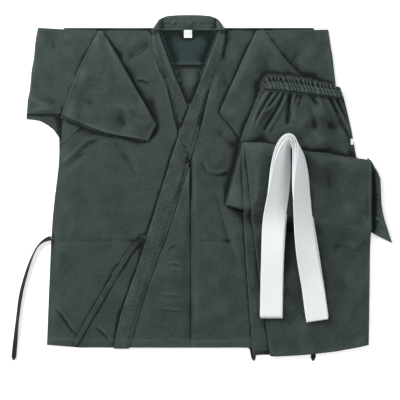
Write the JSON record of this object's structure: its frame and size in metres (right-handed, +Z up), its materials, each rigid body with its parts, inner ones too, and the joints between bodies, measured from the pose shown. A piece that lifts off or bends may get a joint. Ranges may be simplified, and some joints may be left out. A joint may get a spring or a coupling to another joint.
{
  "type": "martial arts uniform",
  "caption": "Dark cotton martial arts uniform folded flat: wrap-over jacket with ties and folded-in sleeves, gathered-waist trousers folded on it, and a white belt laid on top.",
  "frame": {"origin": "middle of the underside of the laid-out uniform, on the surface it lies on", "axes": "+Z up off the surface, +X towards the wearer's left across the shoulders, +Y from the hem towards the collar"},
  "size_m": [0.704, 0.6401, 0.0641],
  "materials": {
    "dark_drill": "matt dark grey-green cotton drill",
    "band_drill": "matt dark cotton drill, several plies quilted with rows of stitching",
    "lining": "matt dark cotton lining",
    "white_cotton": "matt white quilted cotton belt",
    "label_satin": "plain pale woven satin label",
    "elastic": "woven elastic strip"
  },
  "bodies": {
    "jacket": {"jacket_back_panel": "dark_drill", "back_yoke_lining": "lining", "collar_back_neck": "band_drill", "jacket_right_front": "dark_drill", "right_overlap_panel": "dark_drill", "right_lapel": "band_drill", "right_underarm_gusset": "dark_drill", "jacket_left_front": "dark_drill", "left_overlap_panel": "dark_drill", "left_lapel": "band_drill", "left_underarm_gusset": "dark_drill", "right_sleeve_upper": "dark_drill", "left_sleeve_upper": "dark_drill", "left_sleeve_forearm": "dark_drill", "left_sleeve_cuff": "dark_drill", "inner_left_side_tie": "dark_drill", "inner_right_front_tie": "dark_drill"},
    "sleeve_forearm": {"right_sleeve_forearm": "dark_drill"},
    "sleeve_cuff": {"right_sleeve_cuff": "dark_drill"},
    "side_tie": {"right_side_tie": "dark_drill"},
    "front_tie": {"left_front_tie": "dark_drill"},
    "neck_label": {"neck_label": "label_satin"},
    "trousers": {"waistband_back": "dark_drill", "waist_elastic": "elastic", "waistband_front": "dark_drill", "under_leg_seat": "dark_drill", "top_leg_seat": "dark_drill", "crotch_gusset": "dark_drill", "top_leg_mid": "dark_drill", "under_leg_mid": "dark_drill", "under_leg_shin": "dark_drill", "top_leg_shin": "dark_drill"},
    "trousers_label": {"trousers_side_label": "label_satin"},
    "belt": {"belt": "white_cotton"}
  },
  "joints": [
    {"name": "sleeve_fold", "type": "hinge", "parent": "jacket", "child": "sleeve_forearm", "pos_m": [-0.302, 0.296, 0.00345], "axis": [-0.1349, -0.9909, 0], "range_deg": [0, 165]},
    {"name": "cuff_fold", "type": "hinge", "parent": "sleeve_forearm", "child": "sleeve_cuff", "pos_m": [-0.182, 0.289, 0.00525], "axis": [-0.4939, 0.8695, 0], "range_deg": [0, 150]},
    {"name": "side_tie_swing", "type": "hinge", "parent": "jacket", "child": "side_tie", "pos_m": [-0.2844, -0.099, 0], "axis": [0, 0, -1], "range_deg": [-4, 100]},
    {"name": "front_tie_swing", "type": "hinge", "parent": "jacket", "child": "front_tie", "pos_m": [-0.111, -0.096, 0.003], "axis": [0, 0, -1], "range_deg": [-2, 95]},
    {"name": "neck_label_flip", "type": "hinge", "parent": "jacket", "child": "neck_label", "pos_m": [-0.025, 0.2922, 0.002], "axis": [-1, 0, 0], "range_deg": [0, 85]},
    {"name": "trousers_lift", "type": "slide", "parent": "jacket", "child": "trousers", "axis": [0, 0, 1], "range_m": [0, 0.12]},
    {"name": "trousers_label_flip", "type": "hinge", "parent": "trousers", "child": "trousers_label", "pos_m": [0.281, 0.0855, 0.0122], "axis": [0, 1, 0], "range_deg": [0, 180]},
    {"name": "belt_lift", "type": "slide", "parent": "trousers", "child": "belt", "axis": [0, 0, 1], "range_m": [0, 0.1]}
  ]
}
